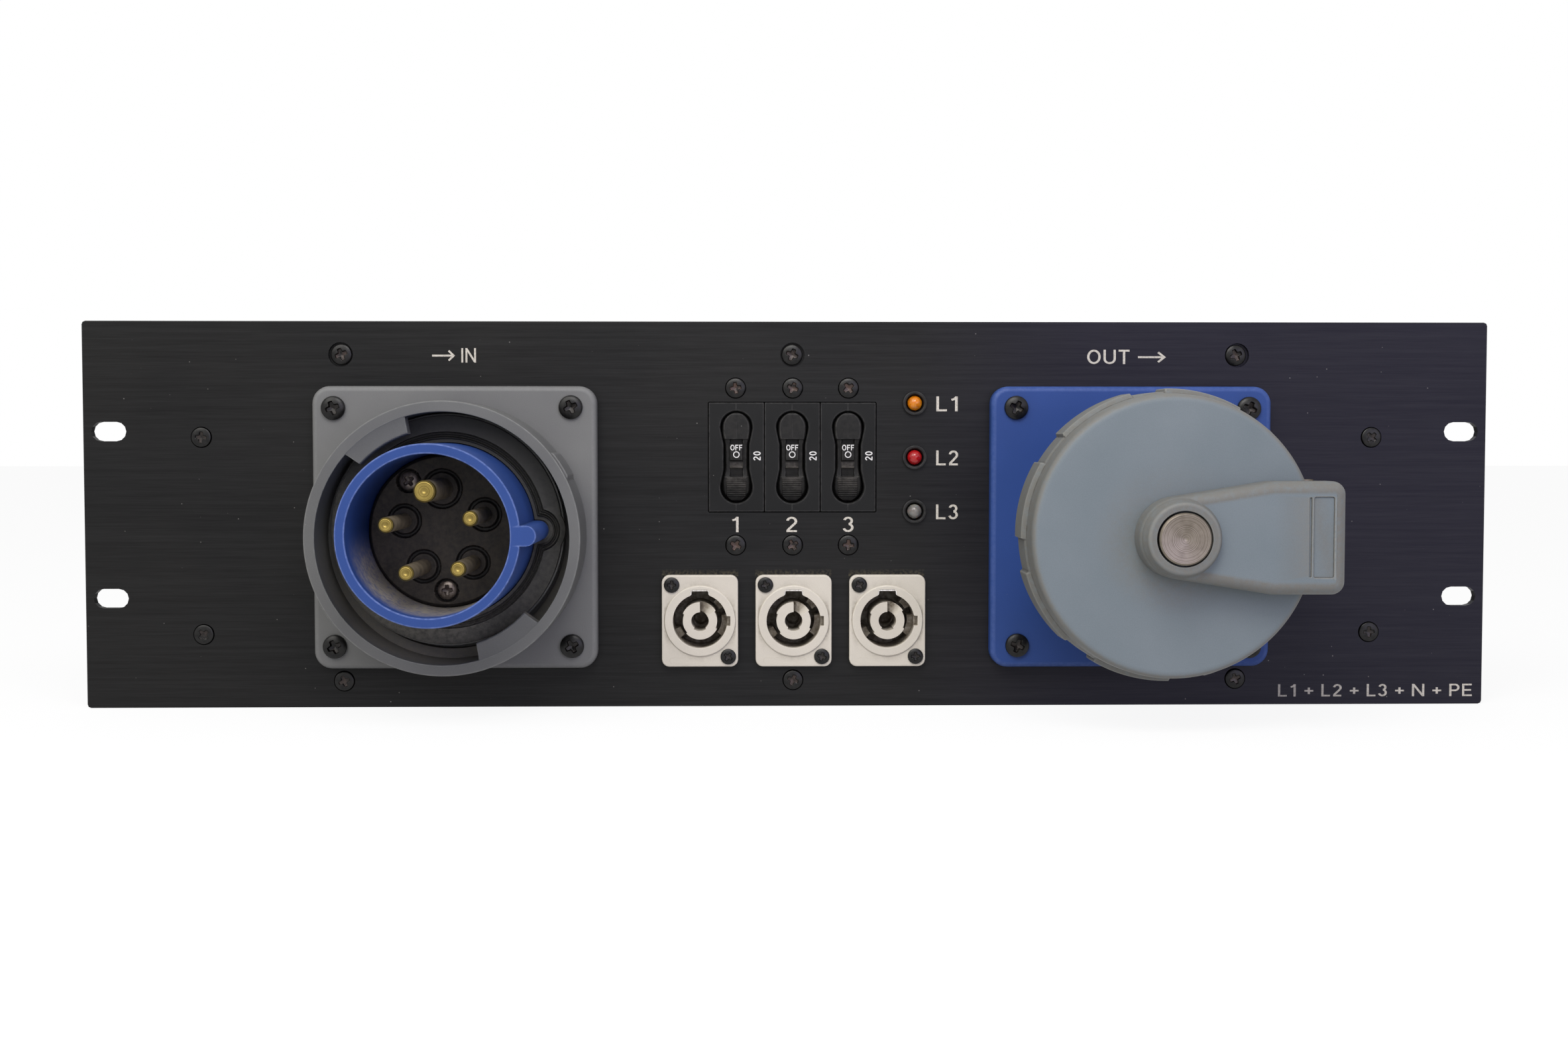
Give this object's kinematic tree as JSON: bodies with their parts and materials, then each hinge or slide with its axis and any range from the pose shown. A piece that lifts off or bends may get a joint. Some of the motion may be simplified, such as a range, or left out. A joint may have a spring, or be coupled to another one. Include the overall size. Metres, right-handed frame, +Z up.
{
  "type": "rack power distribution unit",
  "caption": "Rack-mount power distributor: pin inlet with loose lock ring, capped receptacle on a hinged arm, rocker breakers, lamps and twist-lock outlets.",
  "frame": {"origin": "middle of the unit's overall width and depth, on the surface it stands on", "axes": "+X to the right along the panel, seen from the front; +Y from the front into the rack; +Z up"},
  "size_m": [0.4826, 0.2874, 0.1326],
  "materials": {
    "black_anodised_panel": "black anodised, fine grain",
    "black_enamelled_sheet": "black enamel",
    "grey_nylon": "moulded, fine grain",
    "blue_nylon": "moulded, satin",
    "black_nylon": "moulded, satin",
    "black_rubber": "matt",
    "pale_nylon": "moulded, satin",
    "brass": "turned or rolled",
    "turned_steel": "turned",
    "wire_jacket": "extruded",
    "amber_lens": "clear moulded",
    "red_lens": "clear moulded",
    "clear_lens": "clear moulded"
  },
  "bodies": {
    "unit": {"front_panel": "black_anodised_panel", "chassis": "black_enamelled_sheet", "cover": "black_enamelled_sheet", "inlet_housing": "grey_nylon", "inlet_shroud": "blue_nylon", "receptacle_housing": "blue_nylon", "inlet_insert": "black_nylon", "receptacle_insert": "black_nylon", "receptacle_insert_foot": "black_nylon", "breaker_1_body": "black_nylon", "breaker_2_body": "black_nylon", "breaker_3_body": "black_nylon", "lamp_1_bezel": "black_nylon", "lamp_2_bezel": "black_nylon", "lamp_3_bezel": "black_nylon", "inlet_seal": "black_rubber", "socket_1_shell": "pale_nylon", "socket_2_shell": "pale_nylon", "socket_3_shell": "pale_nylon", "inlet_pin_earth": "brass", "inlet_pin_neutral": "brass", "inlet_pin_line_1": "brass", "inlet_pin_line_2": "brass", "inlet_pin_line_3": "brass", "receptacle_contact_earth": "brass", "receptacle_contact_neutral": "brass", "receptacle_contact_line_1": "brass", "receptacle_contact_line_2": "brass", "receptacle_contact_line_3": "brass", "neutral_bar": "brass", "earth_bar": "brass", "lid_hinge_pin": "turned_steel", "socket_1_latch": "turned_steel", "socket_2_latch": "turned_steel", "socket_3_latch": "turned_steel", "feed_wire_earth": "wire_jacket", "feed_wire_neutral": "wire_jacket", "feed_wire_line_1": "wire_jacket", "feed_wire_line_2": "wire_jacket", "feed_wire_line_3": "wire_jacket", "tap_wire_1": "wire_jacket", "tap_wire_2": "wire_jacket", "tap_wire_3": "wire_jacket", "load_wire_1": "wire_jacket", "load_wire_2": "wire_jacket", "load_wire_3": "wire_jacket", "neutral_wire": "wire_jacket", "earth_wire": "wire_jacket", "lamp_1_lens": "amber_lens", "lamp_2_lens": "red_lens", "lamp_3_lens": "clear_lens"},
    "lock_ring": {"inlet_lock_ring": "grey_nylon"},
    "lid": {"lid_arm": "grey_nylon", "lid_rivet": "turned_steel"},
    "cap": {"lid_cap": "grey_nylon", "lid_gasket": "black_rubber"},
    "rocker_1": {"breaker_1_rocker": "black_nylon"},
    "rocker_2": {"breaker_2_rocker": "black_nylon"},
    "rocker_3": {"breaker_3_rocker": "black_nylon"}
  },
  "joints": [
    {"name": "lock_ring_turn", "type": "hinge", "parent": "unit", "child": "lock_ring", "pos_m": [-0.1143, -0.07945, 0.0598], "axis": [0, 1, 0], "range_deg": [0, 45]},
    {"name": "lid_swing", "type": "hinge", "parent": "unit", "child": "lid", "pos_m": [0.1708, -0.08145, 0.0621], "axis": [0, 0, 1], "range_deg": [0, 110]},
    {"name": "cap_turn", "type": "hinge", "parent": "lid", "child": "cap", "pos_m": [0.1168, -0.12945, 0.0621], "axis": [0, 1, 0], "range_deg": [0, 45]},
    {"name": "rocker_1_tilt", "type": "hinge", "parent": "unit", "child": "rocker_1", "pos_m": [-0.01855, -0.05645, 0.08605], "axis": [1, 0, 0], "range_deg": [-14, 0]},
    {"name": "rocker_2_tilt", "type": "hinge", "parent": "unit", "child": "rocker_2", "pos_m": [0.0007, -0.05645, 0.08605], "axis": [1, 0, 0], "range_deg": [-14, 0]},
    {"name": "rocker_3_tilt", "type": "hinge", "parent": "unit", "child": "rocker_3", "pos_m": [0.01995, -0.05645, 0.08605], "axis": [1, 0, 0], "range_deg": [-14, 0]}
  ]
}
